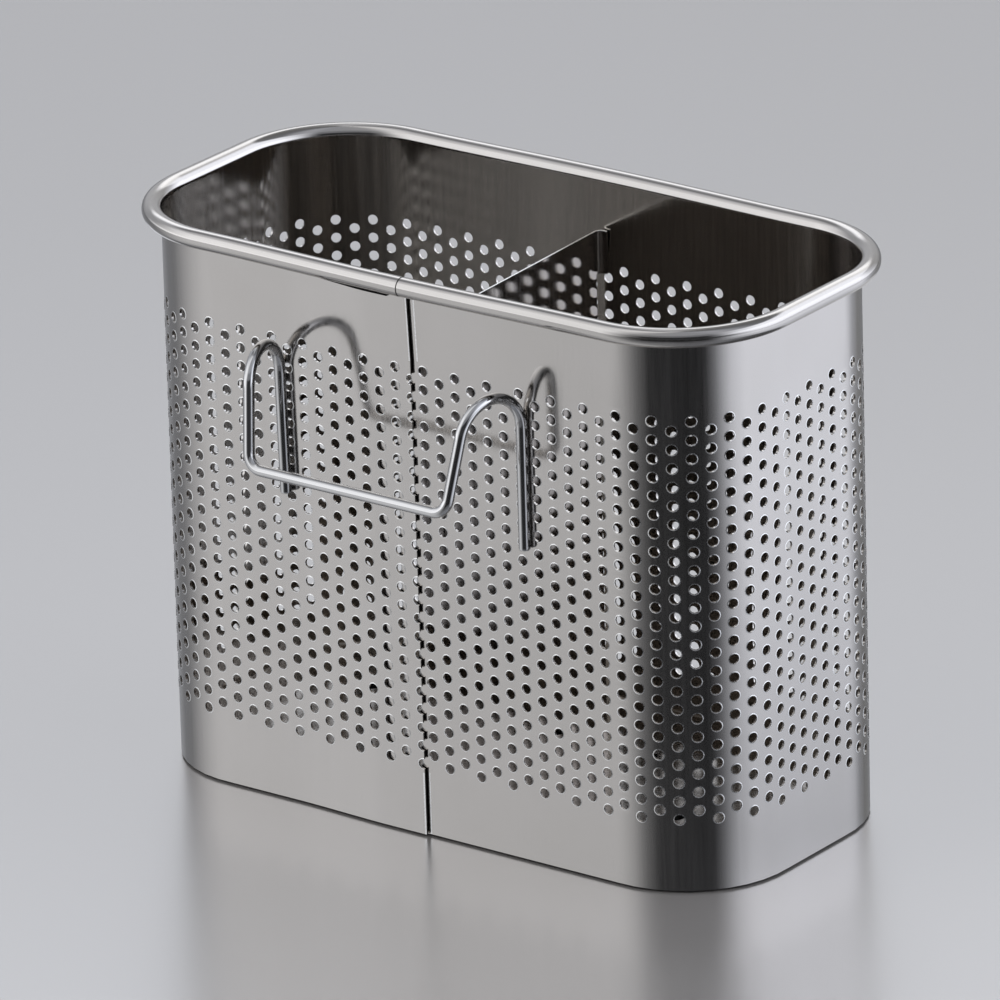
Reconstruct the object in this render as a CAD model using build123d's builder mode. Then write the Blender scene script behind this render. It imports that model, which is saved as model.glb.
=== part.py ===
"""Perforated stainless steel holder for chopsticks and table cutlery, with a rail hook.

One strip of perforated sheet is wrapped into a basket with a lap seam in its long front wall, and
its top edge is rolled outwards into a bead. A pressed tray closes the bottom, a plain sheet parts
the basket in two, and a bent wire on the front hooks over a rail.

Frame: X along the basket, Y across it with the hook towards -Y, Z up. The origin is the middle of
the basket's footprint, on the surface that it stands on. All sizes are in millimetres.
"""

import os
from math import pi, radians, sqrt, tan

from build123d import *

os.makedirs("parts", exist_ok=True)

# Driving dimensions of the basket
sheet = 0.5  # thickness of the stainless sheet
basket_length = 186.0  # outside the wall, along X
basket_width = 88.0  # outside the wall, along Y
basket_height = 153.5  # from the ground to the top of the rolled rim
corner_radius = 29.0  # outside the wall, in plan
corner_arcs = 13  # each corner is drawn in short arcs, whose faces need few facets

# Rolled rim
bead_radius = 2.15  # outside radius of the bead
shoulder_radius = 3.1  # outside radius of the bend from the wall into the bead
bead_closing = 40.0  # degrees that the roll goes on past straight down, back to the wall
rim_joint = 0.3  # gap where the two ends of the roll meet
shoulder_chords = 4  # number of flats that stand for the bend
bead_chords = 10  # number of flats that stand for the bead

# Lap seam in the front wall
seam_x = 1.4  # place of the outer sheet end's cut edge
lap = 12.0  # how far the inner sheet end goes on behind the outer one
lap_clearance = 0.4  # between the two layers
joggle_length = 22.0  # length over which the outer layer rises over the inner one
joggle_radius = 150.0

# Perforation of the wall
hole_pitch = 5.0  # down a column, and from each column to the next
hole_diameter = 3.0
hole_block = 3  # one square opening stands for a block of so many round holes each way
bottom_band = 20.15  # plain strip, from the ground to the lowest hole centres
top_band = 22.7  # plain strip, from the highest hole centres to the wall's bend

# Base tray
floor_height = 8.0  # from the ground to the top of the tray's floor
skirt_lift = 1.0  # the skirt's lower edge above the ground
tray_bend = 1.5  # slope between floor and skirt
tray_clearance = 0.05
drain_pitch = 30.0
drain_diameter = 4.0
drain_sides = 6
drain_columns = 5
drain_rows = 2

# Divider
divider_x = -1.4  # its middle, a little left of the basket's
divider_skew = 4.0  # how much further left its back end stands than its front end
divider_drop = 15.4  # top edge below the top of the rim
divider_bend = 2.0  # outside radius of the bend into a tab
divider_clearance = 0.05
tab_length = 3.0
tab_height = 11.8

# Rail hook, one bent wire
wire_diameter = 3.0
hook_x = -1.4
hook_leg_spacing = 75.7  # between the two legs on the wall
hook_drop = 22.4  # top of the two arches below the top of the rim
hook_leg = 44.6  # length of a leg on the wall, from the arch's top to its lower end
hook_reach_top = 17.5  # from wall leg to outer leg at the arch
hook_reach_bottom = 23.4  # from wall leg to the bar
hook_taper_top = 4.0  # how far each loop closes towards the middle at the arch
hook_taper_bottom = 7.1  # and at the bar
hook_bar_drop = 29.1  # axis of the bar below the top of the arches
hook_bar_bend = 7.0  # bend radius, on the wire's axis, between outer leg and bar
hook_clearance = 0.05
wire_sides = 12  # flats that stand for the round wire

# Values worked out from the driving dimensions
half_length = basket_length / 2
half_width = basket_width / 2
shoulder_height = basket_height - shoulder_radius
bead_height = basket_height - bead_radius
lap_offset = sheet + lap_clearance
joggle_end = seam_x - lap - joggle_radius * lap_offset / joggle_length / 2
joggle_start = joggle_end - joggle_length
divider_height = basket_height - divider_drop
hook_top = basket_height - hook_drop
hook_leg_bottom = hook_top - hook_leg
hook_bar_height = hook_top - hook_bar_drop


def wrapped_line(start_x):
    """Draw the line of the wall in plan, from a place in the front run round all four corners."""
    run = Line((start_x, -half_width), (half_length - corner_radius, -half_width))
    for side in (basket_width, basket_length, basket_width, 0):
        for _ in range(corner_arcs):
            run = JernArc(run @ 1, run % 1, corner_radius, 90 / corner_arcs)
        if side:
            run = Line(run @ 1, run @ 1 + run % 1 * (side - 2 * corner_radius))
    return run


# Basket wall: the wrapped sheet, its openings and its rolled rim
with BuildLine() as sheet_path:
    last_corner = wrapped_line(seam_x - lap)
    FilletPolyline(
        last_corner @ 1,
        (joggle_start, -half_width),
        (joggle_end, -half_width - lap_offset),
        (seam_x, -half_width - lap_offset),
        radius=joggle_radius,
    )
sheet_wire = sheet_path.wire()

with BuildLine() as rim_path:
    last_corner = wrapped_line(seam_x + rim_joint / 2)
    Line(last_corner @ 1, (seam_x - rim_joint / 2, -half_width))
rim_wire = rim_path.wire()


def opening_plane(distance):
    """Plane just outside the sheet, at a distance along it back from the seam's cut edge."""
    along = sheet_wire.length - distance
    point = sheet_wire.position_at(along, position_mode=PositionMode.LENGTH)
    run = sheet_wire.tangent_at(along, position_mode=PositionMode.LENGTH)
    outside = Plane(origin=point, x_dir=run, z_dir=run.cross(Vector(0, 0, 1)))
    return outside.offset(lap_clearance)


def chords(arc, count):
    """Points that part an arc into a count of equal chords."""
    return [arc @ (index / count) for index in range(count + 1)]


# The first column of openings is in the middle of the lap, and goes through both layers there
opening_pitch = hole_pitch * hole_block
opening_side = hole_block * hole_diameter * sqrt(pi) / 2
column_count = int((sheet_wire.length - lap - opening_side) / opening_pitch) + 1
column_planes = [opening_plane(lap / 2 + opening_pitch * index) for index in range(column_count)]

with BuildPart() as basket_wall:
    # Sections stand square to the front wall, with the basket's inside at their right
    with BuildSketch(Plane(origin=sheet_wire @ 0, x_dir=(0, 1, 0), z_dir=(1, 0, 0))):
        Rectangle(sheet, shoulder_height, align=Align.MIN)
    sweep(path=sheet_wire, clean=False)

    for stagger in (0, 1):
        lowest = bottom_band + hole_pitch * (hole_block - 1) / 2 + opening_pitch * stagger / 2
        row_count = int((shoulder_height - top_band - lowest) / opening_pitch) + 1
        with BuildSketch(*column_planes[stagger::2]):
            for index in range(row_count):
                with Locations((0, lowest + index * opening_pitch)):
                    Rectangle(opening_side, opening_side)
        extrude(amount=-2 * (sheet + lap_clearance), mode=Mode.SUBTRACT, clean=False)

    # The two ends of the roll meet above the seam
    roll_centre = sheet - shoulder_radius
    shoulder = [
        CenterArc((roll_centre, shoulder_height), radius, 0, 90, mode=Mode.PRIVATE)
        for radius in (shoulder_radius, shoulder_radius - sheet)
    ]
    bead = [
        CenterArc((roll_centre, bead_height), radius, 90, 180 + bead_closing, mode=Mode.PRIVATE)
        for radius in (bead_radius, bead_radius - sheet)
    ]
    outer, inner = (
        chords(bend, shoulder_chords) + chords(roll, bead_chords)[1:] for bend, roll in zip(shoulder, bead)
    )
    with BuildSketch(Plane(origin=rim_wire @ 0, x_dir=(0, 1, 0), z_dir=(1, 0, 0))):
        with BuildLine():
            Polyline(*outer, *reversed(inner), close=True)
        make_face()
    sweep(path=rim_wire, clean=False)
basket_wall.part.label = "basket_wall"

# Base tray: a floor with drain holes and a skirt turned down inside the wall
tray_inset = sheet + tray_clearance
with BuildPart() as base_tray:
    with BuildSketch(Plane.XY.offset(skirt_lift)):
        RectangleRounded(
            basket_length - 2 * tray_inset,
            basket_width - 2 * tray_inset,
            corner_radius - tray_inset,
        )
    extrude(amount=floor_height - skirt_lift)
    chamfer(base_tray.faces().sort_by(Axis.Z)[-1].edges(), length=tray_bend)
    offset(amount=-sheet, openings=base_tray.faces().sort_by(Axis.Z)[0])
    with BuildSketch(Plane.XY.offset(floor_height)):
        with GridLocations(drain_pitch, drain_pitch, drain_columns, drain_rows):
            RegularPolygon(radius=drain_diameter / 2, side_count=drain_sides)
    extrude(amount=-sheet, mode=Mode.SUBTRACT)
base_tray.part.label = "base_tray"

# Divider: a plain sheet on the tray's floor, with a tab bent along the wall at each upper end
divider_reach = half_width - sheet - divider_clearance
front_end = (divider_x + divider_skew / 2, -divider_reach)
back_end = (divider_x - divider_skew / 2, divider_reach)
with BuildPart() as divider:
    with BuildSketch(Plane.XY.offset(floor_height)):
        with BuildLine() as web_line:
            Line(front_end, back_end)
            offset(amount=sheet, side=Side.RIGHT, closed=True)
        make_face()
    extrude(amount=divider_height - tab_height - floor_height)
    with BuildSketch(Plane.XY.offset(divider_height - tab_height)):
        with BuildLine() as tabbed_line:
            FilletPolyline(
                (front_end[0] + tab_length, front_end[1]),
                front_end,
                back_end,
                (back_end[0] + tab_length, back_end[1]),
                radius=divider_bend,
            )
            offset(amount=sheet, side=Side.RIGHT, closed=True)
        make_face()
    extrude(amount=tab_height)
divider.part.label = "divider"

# Rail hook: two legs on the wall, an arch over the rail on each, outer legs and a bar
leg_y = -half_width - hook_clearance - wire_diameter / 2
arch_axis = hook_top - wire_diameter / 2


def hook_side(side):
    """Corner points of one loop's path, from the wall leg's lower end to the bar."""
    leg_x = hook_x + side * hook_leg_spacing / 2
    return [
        Vector(leg_x, leg_y, hook_leg_bottom),
        Vector(leg_x, leg_y, arch_axis),
        Vector(leg_x - side * hook_taper_top, leg_y - hook_reach_top, arch_axis),
        Vector(leg_x - side * hook_taper_bottom, leg_y - hook_reach_bottom, hook_bar_height),
    ]


# The two bends of an arch share its span, so that together they are one smooth round
left_points = hook_side(-1)
arch_span = left_points[2] - left_points[1]
outer_angle = arch_span.get_angle(left_points[2] - left_points[3])
arch_bend = 0.99 * arch_span.length / (1 + 1 / tan(radians(outer_angle / 2)))

with BuildPart() as rail_hook:
    with BuildLine() as hook_path:
        FilletPolyline(
            left_points,
            list(reversed(hook_side(1))),
            radius=[arch_bend, arch_bend, hook_bar_bend, hook_bar_bend, arch_bend, arch_bend],
        )
    with BuildSketch(Plane(origin=left_points[0], z_dir=(0, 0, 1))):
        RegularPolygon(wire_diameter / 2, wire_sides)
    sweep(path=hook_path.wire())
rail_hook.part.label = "rail_hook"

for piece in (basket_wall, base_tray, divider, rail_hook):
    export_step(piece.part, f"parts/{piece.part.label}.step")
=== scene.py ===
"""A perforated, polished stainless steel holder for chopsticks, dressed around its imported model.

It stands a finer mesh in the place of each of the four CAD nodes: the wrapped sheet with every punched
hole, the rolled rim, the drained tray, the folded divider and the bent wire hook. Sizes are in
millimetres and turn into metres when a mesh is made. +Z is up, and the hook is towards -Y.
"""

import logging
import math
from dataclasses import dataclass, field
from enum import Enum
from typing import Callable, Sequence

import bpy
import numpy as np
from bpy.types import Material, Mesh, Node, NodeSocket, NodeTree, Object
from mathutils import Matrix, Vector

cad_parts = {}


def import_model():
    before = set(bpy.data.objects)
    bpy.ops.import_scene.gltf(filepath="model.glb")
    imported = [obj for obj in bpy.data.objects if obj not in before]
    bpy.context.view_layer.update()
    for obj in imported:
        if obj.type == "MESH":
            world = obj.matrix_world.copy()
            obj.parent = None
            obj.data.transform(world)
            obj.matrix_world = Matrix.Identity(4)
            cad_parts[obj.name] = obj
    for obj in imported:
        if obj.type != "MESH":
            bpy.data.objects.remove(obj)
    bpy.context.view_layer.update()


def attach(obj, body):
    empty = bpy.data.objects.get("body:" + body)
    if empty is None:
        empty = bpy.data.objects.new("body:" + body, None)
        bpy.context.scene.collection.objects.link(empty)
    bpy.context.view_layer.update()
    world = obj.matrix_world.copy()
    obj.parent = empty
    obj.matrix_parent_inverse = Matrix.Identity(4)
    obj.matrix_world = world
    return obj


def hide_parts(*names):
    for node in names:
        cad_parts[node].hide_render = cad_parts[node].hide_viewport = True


LOG = logging.getLogger("holder")
MM = 0.001
BODY = "root"
SAME_NORMAL = 0.9995  # mean of two unit normals, below which the edge between them is sharp
EMPTY = 1e-9  # twice the area, in square millimetres, up to which a triangle is dropped
NOISE_RANGE = (0.3, 0.7)  # where most of a noise's values lie


class Side(Enum):
    """The two faces of the sheet, as the way their normal points."""

    OUTER = 1.0
    INNER = -1.0


class Finish(Enum):
    """The finishes of the sheet's pieces, as the number of their material slot."""

    SHEET = 0
    # Paler metal on hole lips, the seam's lip and the divider's top edge: painted highlight
    PAINTED_HIGHLIGHT = 1
    # Darker copy of the sheet on the wall's inner face: painted shade
    INSIDE = 2
    # Dark matte in the crevice under the bead: painted shade
    CREVICE = 3


# Small helpers


def srgb(code: str) -> tuple[float, float, float, float]:
    """Turn an sRGB hex colour into a linear RGBA value.

    Args:
        code: six hex digits, with or without a leading hash.

    Returns:
        The linear red, green and blue, and an alpha of 1.
    """
    digits = code.lstrip("#")
    levels = [int(digits[i:i + 2], 16) / 255 for i in (0, 2, 4)]
    linear = [c / 12.92 if c <= 0.04045 else ((c + 0.055) / 1.055) ** 2.4 for c in levels]
    return (linear[0], linear[1], linear[2], 1.0)


def node(tree: NodeTree, kind: str, inputs: dict | None = None, **settings) -> Node:
    """Add one shader node with its settings and links.

    Args:
        tree: the node tree to add to.
        kind: the node's type name.
        inputs: socket name or number to a value, or to another node's output socket.
        **settings: attributes of the node, set before its inputs.

    Returns:
        The new node.
    """
    made = tree.nodes.new(kind)
    for name, value in settings.items():
        setattr(made, name, value)
    for key, value in (inputs or {}).items():
        socket = made.inputs[key]
        if isinstance(value, NodeSocket):
            tree.links.new(value, socket)
        else:
            socket.default_value = value
    return made


def new_object(name: str, mesh: Mesh, *materials: Material) -> Object:
    """Link a mesh into the scene as an object.

    Args:
        name: the piece's name.
        mesh: its mesh.
        *materials: its finishes, in the order of the mesh's material slots.

    Returns:
        The new object.
    """
    made = bpy.data.objects.new(name, mesh)
    while len(mesh.materials):
        mesh.materials.pop()
    for material in materials:
        mesh.materials.append(material)
    bpy.context.scene.collection.objects.link(made)
    return made


# Paths seen from above


@dataclass(frozen=True)
class Stretch:
    """One straight or round stretch of a plan path, in millimetres."""

    start: tuple[float, float]
    heading: float
    curvature: float
    length: float


class PlanPath:
    """A path of straight runs and round corners in plan, followed by its length."""

    def __init__(self, points: Sequence[tuple[float, float]], radii: Sequence[float]) -> None:
        """Lay the path through its corner points.

        Args:
            points: the path's ends and the corner points between them, in millimetres.
            radii: one radius for each corner point.
        """
        self.stretches: list[Stretch] = []
        here = np.array(points[0], float)
        for corner, after, radius in zip(points[1:], points[2:], radii):
            corner_at, after_at = np.array(corner, float), np.array(after, float)
            way_in, way_out = corner_at - here, after_at - corner_at
            heading = math.atan2(way_in[1], way_in[0])
            turn = math.atan2(way_out[1], way_out[0]) - heading
            turn = (turn + math.pi) % (2 * math.pi) - math.pi
            cut = radius * math.tan(abs(turn) / 2)
            run = float(np.hypot(*way_in)) - cut
            self.stretches.append(Stretch(tuple(here), heading, 0.0, run))
            here = here + way_in / np.hypot(*way_in) * run
            bend = math.copysign(1 / radius, turn)
            self.stretches.append(Stretch(tuple(here), heading, bend, radius * abs(turn)))
            here = corner_at + way_out / np.hypot(*way_out) * cut
        last = np.array(points[-1], float) - here
        heading = math.atan2(last[1], last[0])
        self.stretches.append(Stretch(tuple(here), heading, 0.0, float(np.hypot(*last))))
        self.length = sum(part.length for part in self.stretches)

    def at(self, along: np.ndarray) -> tuple[np.ndarray, np.ndarray]:
        """Give the points and directions at lengths along the path.

        Args:
            along: lengths from the path's start.

        Returns:
            The points and the unit directions of travel, each of shape (n, 2).
        """
        along = np.asarray(along, float)
        points = np.zeros((len(along), 2))
        ways = np.zeros((len(along), 2))
        passed = 0.0
        for index, part in enumerate(self.stretches):
            upper = math.inf if index == len(self.stretches) - 1 else passed + part.length
            lower = -math.inf if index == 0 else passed
            here = (along >= lower) & (along < upper)
            run = along[here] - passed
            heading = part.heading + part.curvature * run
            if part.curvature:
                dx = (np.sin(heading) - math.sin(part.heading)) / part.curvature
                dy = (math.cos(part.heading) - np.cos(heading)) / part.curvature
            else:
                dx, dy = run * math.cos(part.heading), run * math.sin(part.heading)
            points[here] = np.stack([part.start[0] + dx, part.start[1] + dy], 1)
            ways[here] = np.stack([np.cos(heading), np.sin(heading)], 1)
            passed += part.length
        return points, ways

    def frames(self, along: np.ndarray) -> tuple[np.ndarray, np.ndarray, np.ndarray]:
        """Give the points, directions and outward normals at lengths along the path."""
        points, ways = self.at(along)
        return points, ways, np.stack([-ways[:, 1], ways[:, 0]], 1)

    def steps(self, start: float, end: float, arc_step: float, run_step: float) -> np.ndarray:
        """Choose lengths at which to sample the path, closer together in its round stretches.

        Args:
            start: the first length.
            end: the last length.
            arc_step: longest step in a round stretch.
            run_step: longest step in a straight one.

        Returns:
            The lengths, in order, with both ends.
        """
        marks = [start]
        passed = 0.0
        for part in self.stretches:
            low, high = max(passed, start), min(passed + part.length, end)
            if high > low:
                count = max(1, math.ceil((high - low) / (arc_step if part.curvature else run_step)))
                marks.extend(low + (high - low) * (i + 1) / count for i in range(count))
            passed += part.length
        return np.array(marks)


# Meshes of bent sheet


def bridge(first: Sequence[int], second: Sequence[int],
           place: Callable[[int], float]) -> list[tuple[int, int, int]]:
    """Join two rows of vertices with triangles, each edge of the second to the nearest of the first.

    Args:
        first: vertex numbers of the coarse row, in order.
        second: vertex numbers of the fine row, in the same order.
        place: gives a vertex's place along the rows.

    Returns:
        The triangles, wound from the first row to the second.
    """
    faces: list[tuple[int, int, int]] = []
    held = 0
    for low, high in zip(second, second[1:]):
        middle = (place(low) + place(high)) / 2
        gaps = [abs(place(number) - middle) for number in first]
        while held + 1 < len(first) and gaps[held + 1] < gaps[held]:
            faces.append((first[held], first[held + 1], low))
            held += 1
        faces.append((first[held], high, low))
    while held + 1 < len(first):
        faces.append((first[held], first[held + 1], second[-1]))
        held += 1
    return faces


class SheetMesh:
    """Collects faces of a bent sheet in its flat coordinates, then bends them along a path.

    A vertex is (length along the path, height, depth below the outer face), in millimetres. Each
    corner of a face has its own normal, as (along the path, up, outwards).
    """

    def __init__(self, path: PlanPath, bow: Callable[[np.ndarray], np.ndarray] | None = None,
                 warp: Callable[..., tuple[np.ndarray, np.ndarray]] | None = None) -> None:
        """Start an empty mesh.

        Args:
            path: the outer face's path in plan, with the outside on its left.
            bow: gives the angle, in radians, by which a slight bow turns the normals at lengths
                along the path.
            warp: gives how far the sheet is pushed outwards and slid along +X, from lengths along
                the path, heights and X.
        """
        self.path = path
        self.bow = bow
        self.warp = warp
        self.corners: list[np.ndarray] = []
        self.normals: list[np.ndarray] = []
        self.finishes: list[np.ndarray] = []

    def add(self, corners: np.ndarray, normals: np.ndarray, finish: int = 0) -> None:
        """Add triangles.

        Args:
            corners: their corners, of shape (n, 3, 3).
            normals: the corners' normals, of the same shape.
            finish: number of their material slot.
        """
        self.corners.append(np.asarray(corners, float).reshape(-1, 3, 3))
        self.normals.append(np.asarray(normals, float).reshape(-1, 3, 3))
        self.finishes.append(np.full(len(self.corners[-1]), finish))

    def quad(self, corners: Sequence[Sequence[float]], normal: Sequence[float], finish: int = 0,
             far: Sequence[float] | None = None) -> None:
        """Add a four-sided face.

        Args:
            corners: its four corners in order.
            normal: the normal of the first two corners, and of the others where none is given.
            finish: number of its material slot.
            far: the normal of the last two corners.
        """
        a, b, c, d = corners
        last = normal if far is None else far
        self.add([[a, b, c], [a, c, d]], [[normal, normal, last], [normal, last, last]], finish)

    def strip(self, span: Sequence[float], low: Sequence[float], high: Sequence[float],
              normal: Sequence[float], finish: int = 0, far: Sequence[float] | None = None) -> None:
        """Add a face between two lines that run along the path.

        Args:
            span: the lengths at which both lines begin and end.
            low: height and depth of the first line.
            high: height and depth of the second one.
            normal: the normal at the first line, and at the other where none is given.
            finish: number of its material slot.
            far: the normal at the second line.
        """
        start, end = span
        self.quad([(start, *low), (end, *low), (end, *high), (start, *high)], normal, finish, far)

    def cut_edge(self, first: Sequence[float], second: Sequence[float], sheet: float,
                 normal: Sequence[float]) -> None:
        """Close the sheet's cut edge between two points, each a length and a height."""
        self.quad([(*first, 0), (*second, 0), (*second, sheet), (*first, sheet)], normal)

    def build(self, name: str) -> Mesh:
        """Bend the faces along the path and weld them into one mesh.

        Args:
            name: the mesh's name.

        Returns:
            The mesh, in metres, with its own normals.
        """
        corners = np.concatenate(self.corners)
        normals = np.concatenate(self.normals).reshape(-1, 3)
        flat = np.round(corners.reshape(-1, 3), 4)
        unique, index = np.unique(flat, axis=0, return_inverse=True)
        points, _, outwards = self.path.frames(unique[:, 0])
        places = np.zeros((len(unique), 3))
        places[:, :2] = points - outwards * unique[:, 2:3]
        places[:, 2] = unique[:, 1]
        if self.warp is not None:
            push, slide = self.warp(unique[:, 0], unique[:, 1], points[:, 0])
            places[:, :2] += outwards * push[:, None]
            places[:, 0] += slide
        _, ways, outs = self.path.frames(flat[:, 0])
        if self.bow is not None:
            turn = self.bow(flat[:, 0])[:, None]
            turned = ways * np.cos(turn) - outs * np.sin(turn)
            outs = outs * np.cos(turn) + ways * np.sin(turn)
            ways = turned
        bent = np.zeros((len(flat), 3))
        bent[:, :2] = ways * normals[:, 0:1] + outs * normals[:, 2:3]
        bent[:, 2] = normals[:, 1]
        bent /= np.linalg.norm(bent, axis=1, keepdims=True)
        triangles = np.asarray(index).reshape(-1, 3)
        finishes = np.concatenate(self.finishes)
        triangles, bent, kept = self._wound(places, triangles, bent.reshape(-1, 3, 3))
        mesh = bpy.data.meshes.new(name)
        mesh.from_pydata((places * MM).tolist(), [], triangles.tolist())
        mesh.polygons.foreach_set("use_smooth", np.ones(len(triangles), bool))
        mesh.polygons.foreach_set("material_index", finishes[kept])
        mesh.update()
        mesh.edges.foreach_set("use_edge_sharp", self._sharp(mesh, triangles, bent))
        mesh.normals_split_custom_set(bent.reshape(-1, 3).tolist())
        return mesh

    @staticmethod
    def _sharp(mesh: Mesh, triangles: np.ndarray, normals: np.ndarray) -> np.ndarray:
        """Tell which edges lie between faces that give them different normals."""
        edges = np.empty(triangles.size, int)
        mesh.loops.foreach_get("edge_index", edges)
        starts, ends = triangles.reshape(-1), np.roll(triangles, -1, axis=1).reshape(-1)
        here, ahead = normals.reshape(-1, 3), np.roll(normals, -1, axis=1).reshape(-1, 3)
        onward = (starts < ends)[:, None]
        pairs = np.concatenate([np.where(onward, here, ahead), np.where(onward, ahead, here)], 1)
        total = np.zeros((len(mesh.edges), 6))
        np.add.at(total, edges, pairs)
        total /= np.bincount(edges, minlength=len(total))[:, None]
        lengths = np.minimum(np.linalg.norm(total[:, :3], axis=1), np.linalg.norm(total[:, 3:], axis=1))
        return lengths < SAME_NORMAL

    @staticmethod
    def _wound(places: np.ndarray, triangles: np.ndarray,
               normals: np.ndarray) -> tuple[np.ndarray, ...]:
        """Turn each triangle so that its winding agrees with its normals, and drop empty ones."""
        a, b, c = (places[triangles[:, i]] for i in range(3))
        faces = np.cross(b - a, c - a)
        kept = np.linalg.norm(faces, axis=1) > EMPTY
        triangles, normals, faces = triangles[kept], normals[kept], faces[kept]
        wrong = np.einsum("ij,ij->i", faces, normals.sum(1)) < 0
        triangles[wrong] = triangles[wrong][:, [0, 2, 1]]
        normals[wrong] = normals[wrong][:, [0, 2, 1]]
        return triangles, normals, kept


@dataclass
class HoleCell:
    """One cell of the perforation: a stretch of sheet round a punched hole, in millimetres.

    Punching and brushing leave a narrow raised ring round the hole on the outer face. Its finish is
    paler than the sheet and paints a light line round the hole: a painted highlight.
    """

    pitch: float
    radius: float
    lip: float
    lip_rise: float
    sheet: float
    sides: int = 12

    def triangles(self, half: bool) -> dict[Finish, tuple[np.ndarray, np.ndarray]]:
        """Make the cell about its own middle.

        Args:
            half: leave out the half before the middle, for a hole on the sheet's cut edge.

        Returns:
            For each finish, the triangles' corners and their corner normals, of shape (n, 3, 3).
        """
        low, high = (-90.0, 90.0) if half else (-180.0, 180.0)
        step = 360 / self.sides
        angles = np.radians(np.arange(low, high + step / 2, step))
        reach = self.pitch / 2
        edge = [(reach, -reach), (reach, 0.0), (reach, reach)]
        if half:
            edge = [(0.0, -reach), *edge, (0.0, reach)]
        else:
            edge = [(-reach, 0.0), (-reach, -reach), *edge, (-reach, reach), (-reach, 0.0)]
        table: list[tuple[float, float, float]] = []
        turns: list[float] = []
        rows: dict[str, list[int]] = {}
        for key, depth in (("outer_edge", 0.0), ("inner_edge", self.sheet)):
            rows[key] = list(range(len(table), len(table) + len(edge)))
            table += [(u, v, depth) for u, v in edge]
            bearing = [math.degrees(math.atan2(v, u)) for u, v in edge]
            turns += bearing if half else [-180.0, *bearing[1:-1], 180.0]
        rings = (("lip", self.radius + self.lip, 0.0), ("mouth", self.radius, -self.lip_rise),
                 ("back", self.radius, self.sheet))
        for key, radius, depth in rings:
            rows[key] = list(range(len(table), len(table) + len(angles)))
            table += [(radius * math.cos(a), radius * math.sin(a), depth) for a in angles]
            turns += np.degrees(angles).tolist()
        inwards = {i: (-math.cos(math.radians(turns[i])), -math.sin(math.radians(turns[i])), 0.0)
                   for key in ("lip", "mouth", "back") for i in rows[key]}
        out, back = (0.0, 0.0, 1.0), (0.0, 0.0, -1.0)
        slope = self.lip_rise / self.lip
        raised = {i: (-u * slope, -v * slope, 1.0) for i, (u, v, _) in inwards.items()}
        finishes = (Finish.SHEET, Finish.PAINTED_HIGHLIGHT, Finish.INSIDE)
        made: dict[Finish, tuple[list, list]] = {finish: ([], []) for finish in finishes}

        def take(faces: Sequence[Sequence[int]], normal_of: Callable[[int], tuple[float, float, float]],
                 finish: Finish = Finish.SHEET) -> None:
            """Add faces, with their corners' normals."""
            for face in faces:
                made[finish][0].append([table[i] for i in face])
                made[finish][1].append([normal_of(i) for i in face])

        place = turns.__getitem__
        take(bridge(rows["outer_edge"], rows["lip"], place), lambda i: out)
        take(bridge(rows["inner_edge"], rows["back"], place), lambda i: back, Finish.INSIDE)
        # The lip ring takes the paler finish: a painted highlight round each hole
        for near, far, normals, finish in (("lip", "mouth", raised, Finish.PAINTED_HIGHLIGHT),
                                           ("mouth", "back", inwards, Finish.SHEET)):
            pairs = list(zip(rows[near], rows[near][1:], rows[far], rows[far][1:]))
            faces = [f for a, b, c, d in pairs for f in ((a, b, d), (a, d, c))]
            take(faces, normals.__getitem__, finish)
        if half:
            cut = (-1.0, 0.0, 0.0)
            for end in (0, -1):
                rim = [rows[key][end] for key in ("outer_edge", "lip", "mouth", "back", "inner_edge")]
                take([(rim[0], rim[i], rim[i + 1]) for i in range(1, 4)], lambda i: cut)
        return {finish: (np.array(rows[0]), np.array(rows[1])) for finish, rows in made.items()}


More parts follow.
